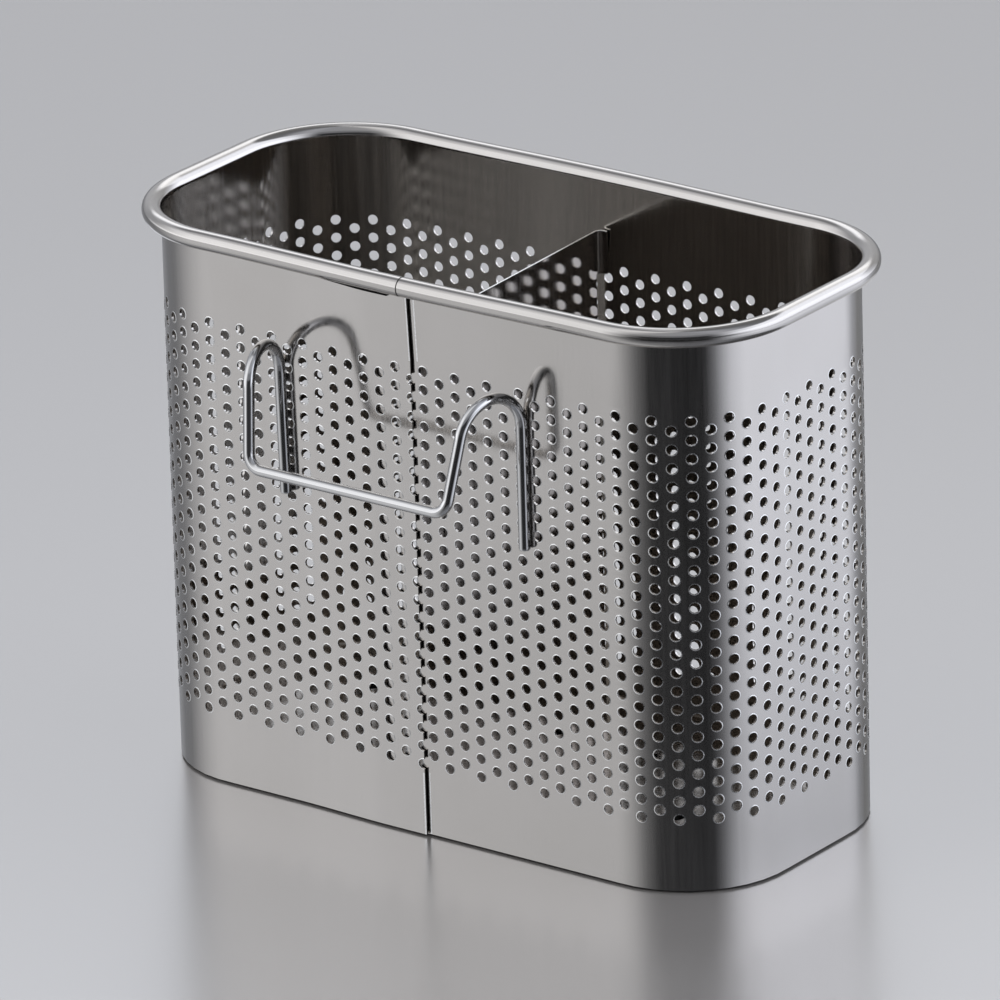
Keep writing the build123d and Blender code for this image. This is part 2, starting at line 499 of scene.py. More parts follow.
@dataclass
class BasketWall:
    """The wrapped, perforated strip and its rolled rim. Sizes in millimetres, angles in degrees."""

    length: float = 186.0
    width: float = 88.0
    height: float = 153.5
    corner_radius: float = 29.0
    sheet: float = 0.5
    seam_x: float = 1.4
    lap: float = 12.0
    lap_offset: float = 0.9
    joggle_length: float = 22.0
    joggle_radius: float = 150.0
    bow_angle: float = 2.4
    rim_bow: tuple[float, float, float] = (1.05, 131.0, 150.0)
    seam_slant: float = 0.8
    pitch: float = 5.0
    hole_radius: float = 1.4
    ring_width: float = 0.24
    ring_rise: float = 0.06
    rows: int = 22
    bottom_band: float = 20.15
    foot: float = 0.6
    shoulder_radius: float = 2.95
    bead_radius: float = 2.55
    bead_closing: float = 40.0
    rim_joint: float = 0.35
    joint_sink: float = 0.18
    joint_reach: float = 0.2
    weld_rise: float = 0.04
    weld_reach: float = 5.8
    crevice_height: float = 147.4
    crevice_taper: float = 0.7
    crevice_edge: float = 0.02
    lip: float = 0.4
    lip_lift: float = 0.004
    lip_line: float = 1.4
    top_parts: int = 4
    run_step: float = 12.0
    bend_samples: int = 10
    bead_samples: int = 26
    path: PlanPath = field(init=False)
    rim_path: PlanPath = field(init=False)

    def __post_init__(self) -> None:
        """Lay the strip's path, from the seam's cut edge round to the end behind it, and the rim's."""
        half_x, half_y = self.length / 2, self.width / 2
        lifted = -half_y - self.lap_offset
        joggle_cut = self.joggle_radius * self.lap_offset / self.joggle_length / 2
        joggle_end = self.seam_x - self.lap - joggle_cut
        corners = [(-half_x, -half_y), (-half_x, half_y), (half_x, half_y), (half_x, -half_y)]
        points = [(self.seam_x, lifted), (joggle_end, lifted), (joggle_end - self.joggle_length, -half_y),
                  *corners, (self.seam_x - self.lap, -half_y)]
        self.path = PlanPath(points, [self.joggle_radius] * 2 + [self.corner_radius] * 4)
        ends = [(self.seam_x + way * self.rim_joint / 2, -half_y) for way in (-1, 1)]
        self.rim_path = PlanPath([ends[0], *corners, ends[1]], [self.corner_radius] * 4)

    @property
    def shoulder_height(self) -> float:
        """Height at which the wall bends into its rim."""
        return self.height - self.shoulder_radius

    def warp(self, along: np.ndarray, height: np.ndarray, x: np.ndarray) -> tuple[np.ndarray, np.ndarray]:
        """Bow the long runs out under the rim, and slant the cut edge.

        Args:
            along: lengths along the strip.
            height: heights.
            x: places along X.

        Returns:
            How far the sheet is pushed outwards, and how far it is slid along +X.
        """
        most, low, high = self.rim_bow
        run = self.length / 2 - self.corner_radius
        share = np.clip((height - low) / (high - low), 0, 1)
        push = most * share**2 * (3 - 2 * share) * np.cos(np.clip(x / run, -1, 1) * math.pi / 2) ** 2
        near = np.clip(1 - along / (self.pitch / 2), 0, 1) * (along >= 0)
        return push, self.seam_slant * near * np.clip(1 - height / low, 0, 1)

    def bow_at(self, along: np.ndarray) -> np.ndarray:
        """Give the turn of the normals that makes the flat front run mirror as a slightly bowed one.

        Args:
            along: lengths along the strip.

        Returns:
            The angles, in radians.
        """
        run = self.length / 2 - self.corner_radius
        fade = self.corner_radius / 2
        round_trip = self.path.length - self.lap
        ends = [run + self.seam_x, round_trip - run + self.seam_x]
        marks = [0, ends[0], ends[0] + fade, ends[1] - fade, ends[1], round_trip, self.path.length]
        return np.radians(np.interp(along, marks, [0, self.bow_angle, 0, 0, -self.bow_angle, 0, 0]))

    def build_sheet(self) -> Mesh:
        """Make the strip, with all its holes.

        Returns:
            The mesh of the wall up to the rim's bend.
        """
        mesh = SheetMesh(self.path, self.bow_at, self.warp)
        cell = HoleCell(self.pitch, self.hole_radius, self.ring_width, self.ring_rise, self.sheet)
        columns = int((self.path.length - self.pitch / 2) / self.pitch) + 1
        for half in (True, False):
            numbers = np.arange(1) if half else np.arange(1, columns)
            along = numbers * self.pitch
            lowest = self.bottom_band + (numbers % 2) * self.pitch / 2
            shifts = np.array([(s, z + row * self.pitch, 0.0) for s, z in zip(along, lowest)
                               for row in range(self.rows)])
            for finish, (corners, normals) in cell.triangles(half).items():
                mesh.add(corners[None] + shifts[:, None, None, :],
                         np.broadcast_to(normals, (len(shifts), *normals.shape)), finish.value)
        self._add_plain(mesh, columns)
        return mesh.build("wrapped_wall")

    def _add_plain(self, mesh: SheetMesh, columns: int) -> None:
        """Add the strips of the sheet with no holes, and its cut edges.

        Args:
            mesh: the mesh to add to.
            columns: number of columns of holes.
        """
        half = self.pitch / 2
        low = self.bottom_band - half
        high = low + (self.rows + 0.5) * self.pitch
        lines = [0.0, *[(i + 0.5) * self.pitch for i in range(columns)], self.path.length]
        levels = [low + i * half for i in range(2 * self.rows + 2)]
        for side, depth in ((Side.OUTER, 0.0), (Side.INNER, self.sheet)):
            normal = (0.0, 0.0, side.value)
            finish = (Finish.SHEET if side is Side.OUTER else Finish.INSIDE).value
            for number, span in enumerate(zip(lines, lines[1:])):
                bands = [(self.foot, low), ((low, low + half) if number % 2 else (high - half, high))]
                if number == columns:
                    bands = [(self.foot, low), *zip(levels, levels[1:])]
                for bottom, upper in bands:
                    mesh.strip(span, (bottom, depth), (upper, depth), normal, finish)
                self._add_top(mesh, span, high, depth, side)
        for start, end in zip(lines, lines[1:]):
            mesh.cut_edge((start, self.foot), (end, self.foot), self.sheet, (0, -1, 0))
        top = self.shoulder_height
        for place, way, rungs in ((0.0, -1.0, [self.foot, low, None, high - half, high, top]),
                                  (self.path.length, 1.0, [self.foot, *levels, top])):
            for bottom, upper in zip(rungs, rungs[1:]):
                if bottom is not None and upper is not None:
                    mesh.cut_edge((place, bottom), (place, upper), self.sheet, (way, 0, 0))
        # Thin strips of the paler finish along the seam's lip paint a light line there: a painted highlight
        under = self.path.length - self.lap - self.lip_line
        for span in ((0.0, self.lip), (under - self.lip, under)):
            for bottom, upper in ((self.foot, low), (high, self.crevice_height)):
                mesh.strip(span, (bottom, -self.lip_lift), (upper, -self.lip_lift), (0, 0, 1),
                           Finish.PAINTED_HIGHLIGHT.value)

    def setback(self, along: float) -> float:
        """Tell how far the lapped layer stands back under the rim, at a length along the strip."""
        points, _ = self.path.at(np.array([along]))
        lifted = -self.width / 2 - float(points[0, 1])
        return max(0.0, lifted - self.crevice_edge) * (along > self.weld_reach)

    def _add_top(self, mesh: SheetMesh, span: Sequence[float], low: float, depth: float,
                 side: Side) -> None:
        """Add one stretch of the plain band under the rim, with a finer upper edge.

        Where the strip is lifted for its lap, a crevice is left under the bead, up to the ground weld; its
        faces take a dark finish as painted shade.

        Args:
            mesh: the mesh to add to.
            span: where the stretch begins and ends along the strip.
            low: the band's lower edge.
            depth: depth of this face below the outer one.
            side: which face of the sheet this is.
        """
        start, end = span
        normal = (0.0, 0.0, side.value)
        finish = Finish.SHEET if side is Side.OUTER else Finish.INSIDE
        upper = [start + (end - start) * i / self.top_parts for i in range(self.top_parts + 1)]
        back = [self.setback(s) for s in upper]
        tops = [self.crevice_height - self.crevice_taper * shift for shift in back]
        table = [(start, low, depth), (end, low, depth), *[(s, z, depth) for s, z in zip(upper, tops)]]
        faces = bridge([0, 1], list(range(2, len(table))), lambda i: table[i][0])
        mesh.add([[table[i] for i in face] for face in faces], [[normal] * 3] * len(faces), finish.value)
        rows = list(zip(upper, tops, back))
        for (s, top_s, shift_s), (t, top_t, shift_t) in zip(rows, rows[1:]):
            shade = finish
            deep = [(t, top_t, depth + shift_t), (s, top_s, depth + shift_s)]
            if max(shift_s, shift_t) > 0:
                # The crevice's faces take the dark finish: painted shade under the bead
                shade = Finish.CREVICE if side is Side.OUTER else Finish.INSIDE
                mesh.quad([(s, top_s, depth), (t, top_t, depth), *deep], (0.0, side.value, 0.0), shade.value)
            mesh.quad([deep[1], deep[0], (t, self.shoulder_height, depth + shift_t),
                       (s, self.shoulder_height, depth + shift_s)], normal, shade.value)

    def build_rim(self) -> Mesh:
        """Roll the wall's top edge outwards into the bead, with a ground weld where its ends meet.

        Returns:
            The mesh of the bend, the bead and the weld.
        """
        mesh = SheetMesh(self.rim_path, self.bow_at, self.warp)
        length = self.rim_path.length
        runs = ((self.rim_path.steps(0.0, length, self.pitch / 4, self.run_step), 0.0),
                ([-self.rim_joint - self.joint_reach, self.joint_reach], self.joint_sink),
                ([0.0, self.weld_reach / 2, self.weld_reach], -self.weld_rise))
        for along, sink in runs:
            self._add_roll(mesh, along, sink)
        return mesh.build("rolled_rim")

    def _add_roll(self, mesh: SheetMesh, along: Sequence[float], sink: float) -> None:
        """Add one run of the rolled section.

        Args:
            mesh: the mesh to add to.
            along: the lengths to sample, in order.
            sink: how far the outer surface lies below the bead's own.
        """
        turn = 180 + self.bead_closing
        rise = self.shoulder_radius - self.bead_radius
        bend = np.linspace(0, 90, self.bend_samples)
        bead = np.linspace(90, 90 + turn, self.bead_samples)[1:]
        outer = [(self.shoulder_radius, 0.0, a) for a in bend] + [(self.bead_radius, rise, a) for a in bead]
        outer = [(radius - sink, lift, math.radians(angle)) for radius, lift, angle in outer]
        inner = [(radius + sink - self.sheet, lift, angle) for radius, lift, angle in reversed(outer)]
        table = np.array([(radius * math.cos(a), lift + radius * math.sin(a),
                           way * math.cos(a), way * math.sin(a))
                          for way, rows in ((1, outer), (-1, inner)) for radius, lift, a in rows])
        depth = self.sheet - self.shoulder_radius + table[:, 0]
        height = self.shoulder_height + table[:, 1]
        count = len(outer)
        tip = math.radians(90 + turn)
        tip_normal = (0.0, math.cos(tip), math.sin(tip))
        for first in range(2 * count - 1):
            second = first + 1
            a, b = ((0.0, table[i, 3], -table[i, 2]) for i in (first, second))
            if first == count - 1:
                a = b = tip_normal
            for span in zip(along, along[1:]):
                mesh.strip(span, (height[first], depth[first]), (height[second], depth[second]), a, far=b)
        for place, way in ((along[0], -1.0), (along[-1], 1.0)):
            for i in range(count - 1):
                j, k, m = i + 1, 2 * count - 1 - i, 2 * count - 2 - i
                mesh.quad([(place, height[n], depth[n]) for n in (i, j, m, k)], (way, 0, 0))

    def dress(self, *finishes: Material) -> list[Object]:
        """Build both meshes and stand them in the CAD wall's place.

        Args:
            *finishes: the materials of the sheet, of its worked edges (paler, a painted highlight), of its
                       inside (a darker copy, painted shade) and of the crevice (dark, painted shade).

        Returns:
            The wall and its rim.
        """
        wall = new_object("wrapped_wall", self.build_sheet(), *finishes)
        rim = new_object("rolled_rim", self.build_rim(), *finishes[:2])
        for piece in (wall, rim):
            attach(piece, BODY)
            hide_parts("basket_wall")
        return [wall, rim]


@dataclass
class BaseTray:
    """The pressed floor of the basket, with its drain holes. Sizes in millimetres."""

    sheet: float = 0.5
    clearance: float = 0.05
    floor_height: float = 8.0
    skirt_lift: float = 1.0
    bend: float = 1.5
    drain_pitch: float = 30.0
    drain_radius: float = 2.0
    drain_columns: int = 5
    drain_rows: int = 2
    drain_sides: int = 24
    arc_step: float = 3.0
    run_step: float = 20.0
    bend_samples: int = 7

    def build(self, wall: BasketWall) -> Mesh:
        """Make the tray inside a wall.

        Args:
            wall: the wall that the tray fits in.

        Returns:
            The tray's mesh.
        """
        inset = wall.sheet + self.clearance
        half_x, half_y = wall.length / 2 - inset, wall.width / 2 - inset
        radius = wall.corner_radius - inset
        path = PlanPath([(0, -half_y), (-half_x, -half_y), (-half_x, half_y), (half_x, half_y),
                         (half_x, -half_y), (0, -half_y)], [radius] * 4)
        mesh = SheetMesh(path)
        along = path.steps(0.0, path.length, self.arc_step, self.run_step)
        bends = np.radians(np.linspace(0, 90, self.bend_samples))
        profile = [(0.0, self.skirt_lift, 0.0, 1.0)]
        for a in bends:
            profile.append((self.bend * (1 - math.cos(a)), self.floor_height - self.bend * (1 - math.sin(a)),
                            math.sin(a), math.cos(a)))
        inner = self.bend - self.sheet
        under = [(self.bend - inner * math.cos(a), self.floor_height - self.bend + inner * math.sin(a),
                  -math.sin(a), -math.cos(a)) for a in reversed(bends)]
        under.append((self.sheet, self.skirt_lift, 0.0, -1.0))
        for rows in (profile, under, [under[-1], profile[0]]):
            edge = rows[0][:2] == under[-1][:2]
            for (d0, z0, up0, out0), (d1, z1, up1, out1) in zip(rows, rows[1:]):
                a, b = ((0, -1, 0), (0, -1, 0)) if edge else ((0, up0, out0), (0, up1, out1))
                for span in zip(along, along[1:]):
                    mesh.strip(span, (z0, d0), (z1, d1), a, far=b)
        skirt = mesh.build("drained_tray")
        return self._with_floor(skirt, path, along)

    def _with_floor(self, skirt: Mesh, path: PlanPath, along: np.ndarray) -> Mesh:
        """Fill the bend's inner edge with a drilled plate.

        Args:
            skirt: the mesh of the skirt and its bend.
            path: the skirt's outside in plan.
            along: the lengths at which the skirt was sampled.

        Returns:
            The whole tray.
        """
        points, _, outwards = path.frames(along[:-1])
        outline = points - outwards * self.bend
        curve = bpy.data.curves.new("floor_plate", "CURVE")
        curve.dimensions = "2D"
        curve.fill_mode = "BOTH"
        curve.extrude = self.sheet / 2 * MM
        loops = [outline]
        turns = np.radians(np.arange(0, 360, 360 / self.drain_sides))
        hole = np.stack([self.drain_radius * np.cos(turns), self.drain_radius * np.sin(turns)], 1)
        for i in range(self.drain_columns):
            for j in range(self.drain_rows):
                x = (i - (self.drain_columns - 1) / 2) * self.drain_pitch
                y = (j - (self.drain_rows - 1) / 2) * self.drain_pitch
                loops.append(hole + (x, y))
        for loop in loops:
            spline = curve.splines.new("POLY")
            spline.points.add(len(loop) - 1)
            for point, (x, y) in zip(spline.points, loop):
                point.co = (x * MM, y * MM, 0, 1)
            spline.use_cyclic_u = True
        holder = bpy.data.objects.new("floor_plate", curve)
        bpy.context.scene.collection.objects.link(holder)
        plate = bpy.data.meshes.new_from_object(holder.evaluated_get(bpy.context.evaluated_depsgraph_get()))
        plate.transform(Matrix.Translation((0, 0, (self.floor_height - self.sheet / 2) * MM)))
        bpy.data.objects.remove(holder)
        both = bpy.data.objects.new("tray_parts", plate)
        body = bpy.data.objects.new("tray_body", skirt)
        for piece in (both, body):
            bpy.context.scene.collection.objects.link(piece)
        with bpy.context.temp_override(active_object=body, selected_editable_objects=[body, both],
                                       selected_objects=[body, both], object=body):
            bpy.ops.object.join()
        joined = body.data
        bpy.data.objects.remove(body)
        return joined

    def dress(self, wall: BasketWall, finish: Material) -> Object:
        """Build the tray and stand it in the CAD tray's place.

        Args:
            wall: the wall that the tray fits in.
            finish: the sheet's material.

        Returns:
            The tray.
        """
        tray = new_object("drained_tray", self.build(wall), finish)
        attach(tray, BODY)
        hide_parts("base_tray")
        return tray


@dataclass
class Divider:
    """The plain sheet across the basket, with a tab at each upper end. Sizes in millimetres."""

    sheet: float = 0.5
    clearance: float = 0.05
    middle_x: float = -1.4
    skew: float = 4.0
    height: float = 138.1
    floor_height: float = 8.0
    bend: float = 2.0
    tab_length: float = 3.0
    tab_height: float = 11.8
    edge_round: float = 0.12
    arc_step: float = 0.4
    run_step: float = 6.0

    def build(self, wall: BasketWall) -> Mesh:
        """Make the divider between the two long walls.

        Args:
            wall: the wall that it stands in.

        Returns:
            The divider's mesh.
        """
        reach = wall.width / 2 - wall.sheet - self.clearance
        front = (self.middle_x + self.skew / 2, -reach)
        back = (self.middle_x - self.skew / 2, reach)
        tabs = [(x + self.tab_length, y) for x, y in (front, back)]
        path = PlanPath([tabs[0], front, back, tabs[1]], [self.bend] * 2)
        mesh = SheetMesh(path)
        tab = path.stretches[0].length + path.stretches[1].length
        far = path.length - tab
        along = path.steps(0.0, path.length, self.arc_step, self.run_step)
        lower = self.height - self.tab_height
        for span in zip(along, along[1:]):
            bottom = self.floor_height if tab < sum(span) / 2 < far else lower
            self._add_stretch(mesh, span, bottom)
        ends = [(0.0, -1, lower, self.height), (path.length, 1, lower, self.height),
                (tab, -1, self.floor_height, lower), (far, 1, self.floor_height, lower)]
        for place, way, low, high in ends:
            r = self.edge_round if high == self.height else 0.0
            rim = [(low, 0.0), (high - r, 0.0), (high, r), (high, self.sheet - r), (high - r, self.sheet),
                   (low, self.sheet)]
            for i in range(1, 5):
                mesh.add([[(place, *rim[0]), (place, *rim[i]), (place, *rim[i + 1])]], [[(way, 0, 0)] * 3])
        return mesh.build("parting_sheet")

    def _add_stretch(self, mesh: SheetMesh, span: Sequence[float], bottom: float) -> None:
        """Add one stretch of the sheet, with its slightly rounded top edge."""
        top, r, thick = self.height, self.edge_round, self.sheet
        out, up, back = (0, 0, 1), (0, 1, 0), (0, 0, -1)
        profile = [((bottom, 0.0), out), ((top - r, 0.0), out), ((top, r), up), ((top, thick - r), up),
                   ((top - r, thick), back), ((bottom, thick), back)]
        for (low, a), (high, b) in zip(profile, profile[1:]):
            # The rounded top edge takes the paler finish: a painted highlight along it
            finish = Finish.PAINTED_HIGHLIGHT if min(low[0], high[0]) >= top - r else Finish.SHEET
            mesh.strip(span, low, high, a, finish.value, b)
        mesh.cut_edge((span[0], bottom), (span[1], bottom), thick, (0, -1, 0))

    def dress(self, wall: BasketWall, finish: Material,
              edge: Material) -> Object:
        """Build the divider and stand it in the CAD divider's place.

        Args:
            wall: the wall that it stands in.
            finish: the divider's material, a darker copy of the sheet's that paints the shade inside the
                basket on it.
            edge: the paler material of its top edge, a painted highlight.

        Returns:
            The divider.
        """
        made = new_object("parting_sheet", self.build(wall), finish, edge)
        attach(made, BODY)
        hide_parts("divider")
        return made


@dataclass
class RailHook:
    """The bent wire on the front wall. Sizes in millimetres, along the wire's axis."""

    wire: float = 3.0
    middle_x: float = -1.4
    leg_spacing: float = 75.7
    leg_bottom: float = 86.5
    top: float = 131.1
    reach_top: float = 17.5
    reach_bottom: float = 23.4
    taper_top: float = 4.0
    taper_bottom: float = 7.1
    bar_height: float = 102.0
    bar_bend: float = 4.4
    lean: float = 0.9
    lean_shares: tuple[float, float, float] = (1.0, 1.0, 0.6)
    arch_share: float = 0.99
    clearance: float = 0.05
    ring: int = 28
    end_round: float = 0.35
    end_angles: tuple[float, ...] = (90, 60, 30, 0)

    def route(self, wall: BasketWall) -> tuple[list[Vector], list[float]]:
        """Give the corner points and bend radii of the wire's axis.

        Args:
            wall: the wall that the wire is welded to.

        Returns:
            The points, from one wall leg's lower end to the other's, and a radius for each corner. The
            left loop leans a little outwards, as the weld holds it.
        """
        leg_y = -wall.width / 2 - self.clearance - self.wire / 2
        arch = self.top - self.wire / 2

        def side(way: int) -> list[Vector]:
            leg = self.middle_x + way * self.leg_spacing / 2
            return [Vector((leg, leg_y, self.leg_bottom)), Vector((leg, leg_y, arch)),
                    Vector((leg - way * self.taper_top, leg_y - self.reach_top, arch)),
                    Vector((leg - way * self.taper_bottom, leg_y - self.reach_bottom, self.bar_height))]

        left = side(-1)
        for point, share in zip(left[1:], self.lean_shares):
            point.x -= self.lean * share
        span = left[2] - left[1]
        corner = span.angle(left[2] - left[3])
        bend = self.arch_share * span.length / (1 + 1 / math.tan(corner / 2))
        return left + side(1)[::-1], [bend, bend, self.bar_bend, self.bar_bend, bend, bend]

    def axis(self, wall: BasketWall, step: float = 0.7) -> list[Vector]:
        """Round the route's corners and sample it.

        Args:
            wall: the wall that the wire is welded to.
            step: longest step in a bend.

        Returns:
            Points of the wire's axis.
        """
        points, radii = self.route(wall)
        samples = [points[0]]
        for before, corner, after, radius in zip(points, points[1:], points[2:], radii):
            way_in, way_out = (corner - before).normalized(), (after - corner).normalized()
            turn = way_in.angle(way_out)
            cut = radius * math.tan(turn / 2)
            centre = corner + (way_out - way_in).normalized() * (radius / math.cos(turn / 2))
            start = corner - way_in * cut - centre
            normal = way_in.cross(way_out).normalized()
            count = max(2, math.ceil(radius * turn / step))
            for i in range(count + 1):
                samples.append(centre + Matrix.Rotation(turn * i / count, 3, normal) @ start)
        samples.append(points[-1])
        # Extra rings near both ends of each straight run keep its shading straight
        held = [samples[0]]
        for before, after in zip(samples, samples[1:]):
            if (after - before).length > 3 * step:
                way = (after - before).normalized() * step
                held += [before + way, after - way]
            held.append(after)
        return held

    def build(self, wall: BasketWall) -> Mesh:
        """Sweep the wire along its axis, with ground ends.

        Args:
            wall: the wall that the wire is welded to.

        Returns:
            The wire's mesh.
        """
        axis = self.axis(wall)
        ways = [(axis[1] - axis[0]).normalized()]
        ways += [(b - a).normalized() for a, b in zip(axis, axis[2:])]
        ways.append((axis[-1] - axis[-2]).normalized())
        side = Vector((0, -1, 0))
        radius = self.wire / 2
        verts: list[Vector] = []
        rings: list[list[int]] = []
        for number, (point, way) in enumerate(zip(axis, ways)):
            side = (side - way * side.dot(way)).normalized()
            across = way.cross(side)
            layers = [(point, radius)]
            if number in (0, len(axis) - 1):
                inwards = way if number == 0 else -way
                blends = [math.radians(a) for a in self.end_angles]
                layers = [(point + inwards * self.end_round * (1 - math.sin(a)),
                           radius - self.end_round * (1 - math.cos(a))) for a in blends]
                layers = layers if number == 0 else layers[::-1]
            for place, size in layers:
                ring = []
                for k in range(self.ring):
                    a = 2 * math.pi * k / self.ring
                    ring.append(len(verts))
                    verts.append((place + side * math.cos(a) * size + across * math.sin(a) * size) * MM)
                rings.append(ring)
        faces = [tuple(reversed(rings[0])), tuple(rings[-1])]
        for low, high in zip(rings, rings[1:]):
            for k in range(self.ring):
                m = (k + 1) % self.ring
                faces.append((low[k], low[m], high[m], high[k]))
        mesh = bpy.data.meshes.new("bent_wire")
        mesh.from_pydata([tuple(v) for v in verts], [], faces)
        mesh.polygons.foreach_set("use_smooth", [len(f) == 4 for f in faces])
        mesh.update()
        return mesh

    def dress(self, wall: BasketWall, finish: Material) -> Object:
        """Build the wire and stand it in the CAD hook's place.

        Args:
            wall: the wall that it is welded to.
            finish: the wire's material.

        Returns:
            The hook.
        """
        hook = new_object("bent_wire", self.build(wall), finish)
        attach(hook, BODY)
        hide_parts("rail_hook")
        return hook


# Finishes


def ranged(tree: NodeTree, value: NodeSocket, source: Sequence[float],
           target: Sequence, smooth: bool = False) -> NodeSocket:
    """Map one range of a value onto another.

    Args:
        tree: the node tree to add to.
        value: the value.
        source: the range that it is taken from.
        target: the range that it is mapped onto, as numbers or sockets.
        smooth: whether the change eases in and out.

    Returns:
        The mapped value.
    """
    inputs = dict(zip(("From Min", "From Max", "To Min", "To Max"), (*source, *target)), Value=value)
    kind = "SMOOTHSTEP" if smooth else "LINEAR"
    return node(tree, "ShaderNodeMapRange", inputs, interpolation_type=kind).outputs[0]


def mixed(tree: NodeTree, share: NodeSocket, first: Sequence | NodeSocket,
          second: Sequence | NodeSocket) -> NodeSocket:
    """Mix two colours, each a value or a socket."""
    made = node(tree, "ShaderNodeMix", {"Factor": share, "A": first, "B": second}, data_type="RGBA")
    return [socket for socket in made.outputs if socket.type == "RGBA"][0]


def noise(tree: NodeTree, place: NodeSocket, size_mm: float,
          detail: float = 2.0) -> NodeSocket:
    """Add a noise whose spots are about one size."""
    spots = {"Vector": place, "Scale": 1 / (size_mm * MM), "Detail": detail}
    return node(tree, "ShaderNodeTexNoise", spots).outputs["Fac"]


def metal(name: str, colour: str | None = None) -> tuple[Material, Node, NodeSocket]:
    """Start a metal's material.

    Args:
        name: the material's name.
        colour: its colour, where it has only one.

    Returns:
        The material, its shader and the object's own coordinates.
    """
    made = bpy.data.materials.new(name)
    made.use_nodes = True
    shader = made.node_tree.nodes["Principled BSDF"]
    shader.inputs["Metallic"].default_value = 1.0
    if colour is not None:
        shader.inputs["Base Color"].default_value = srgb(colour)
    return made, shader, node(made.node_tree, "ShaderNodeTexCoord").outputs["Object"]


def roughen(tree: NodeTree, shader: Node, marks: NodeSocket, middle: float,
            spread: tuple[float, float]) -> None:
    """Let a noise vary a shader's roughness.

    Args:
        tree: the node tree to add to.
        shader: the shader.
        marks: the noise's values.
        middle: the roughness.
        spread: how far it goes below and above that.
    """
    rough = ranged(tree, marks, NOISE_RANGE, (middle - spread[0], middle + spread[1]))
    tree.links.new(rough, shader.inputs["Roughness"])


@dataclass(frozen=True)
class PolishedSheet:
    """Cold-rolled 304 stainless sheet, polished bright.

    Rolling leaves faint streaks and polishing leaves a slight waviness, so the sheet mirrors what is
    near with soft edges and what is far as a broad tone.
    """

    name: str = "polished_stainless_sheet"
    colour: str = "CBC7C3"
    stained: str = "C5C1BC"
    roughness: float = 0.12
    spread: tuple[float, float] = (0.03, 0.03)
    streak_mm: float = 0.9
    streak_stretch: float = 0.03
    cloud_mm: float = 18.0
    wave_mm: float = 28.0
    wave_height_mm: float = 0.012

    def material(self) -> Material:
        """Make the sheet's material."""
        made, shader, place = metal(self.name)
        tree = made.node_tree
        size = self.streak_mm * MM
        shares = (1 / size, 1 / size, self.streak_stretch / size)
        streaked = node(tree, "ShaderNodeMapping", {"Vector": place, "Scale": shares}).outputs[0]
        streak = node(tree, "ShaderNodeTexNoise", {"Vector": streaked, "Scale": 1.0, "Detail": 3.0})
        cloud = noise(tree, place, self.cloud_mm, 4.0)
        tree.links.new(mixed(tree, cloud, srgb(self.colour), srgb(self.stained)), shader.inputs["Base Color"])
        roughen(tree, shader, streak.outputs["Fac"], self.roughness, self.spread)
        bump = node(tree, "ShaderNodeBump", {"Height": noise(tree, place, self.wave_mm, 1.0), "Strength": 1.0,
                    "Distance": self.wave_height_mm * MM})
        tree.links.new(bump.outputs[0], shader.inputs["Normal"])
        return made


@dataclass(frozen=True)
class PaintedHighlightEdge:
    """The paler, softer metal on the raised ring round each punched hole, on the seam's lip and on the
    divider's top edge.

    Its paler colour paints a fine light line round the dark hole and along those edges: a painted highlight.
    """

    # Paler than the sheet, so that it shows as a light line: painted highlight
    colour: str = "F2F1EF"
    roughness: float = 0.25
    spread: tuple[float, float] = (0.1, 0.1)
    brush_mm: float = 0.3

    def material(self) -> Material:
        """Make the ring's material."""
        made, shader, place = metal("painted_highlight_edge", self.colour)
        marks = noise(made.node_tree, place, self.brush_mm)
        roughen(made.node_tree, shader, marks, self.roughness, self.spread)
        return made


@dataclass(frozen=True)
class PaintedCreviceShade:
    """A dark, dull finish in the crevice under the bead: painted shade, a dark line in the bright sheet."""

    # Dark colour standing in for the shade in the crevice: painted shade
    colour: str = "2E2B29"
    roughness: float = 0.8

    def material(self) -> Material:
        """Make the crevice's dark material."""
        made = bpy.data.materials.new("painted_crevice_shade")
        made.use_nodes = True
        shader = made.node_tree.nodes["Principled BSDF"]
        shader.inputs["Base Color"].default_value = srgb(self.colour)
        shader.inputs["Roughness"].default_value = self.roughness
        return made


@dataclass(frozen=True)
class PolishedWire:
    """Drawn 304 stainless wire, tumbled bright: cleaner and sharper in its mirror than the sheet."""

    colour: str = "D2D1D0"
    roughness: float = 0.05
    spread: tuple[float, float] = (0.03, 0.04)
    draw_mm: float = 0.5

    def material(self) -> Material:
        """Make the wire's material."""
        made, shader, place = metal("polished_stainless_wire", self.colour)
        marks = noise(made.node_tree, place, self.draw_mm)
        roughen(made.node_tree, shader, marks, self.roughness, self.spread)
        return made


# Studio


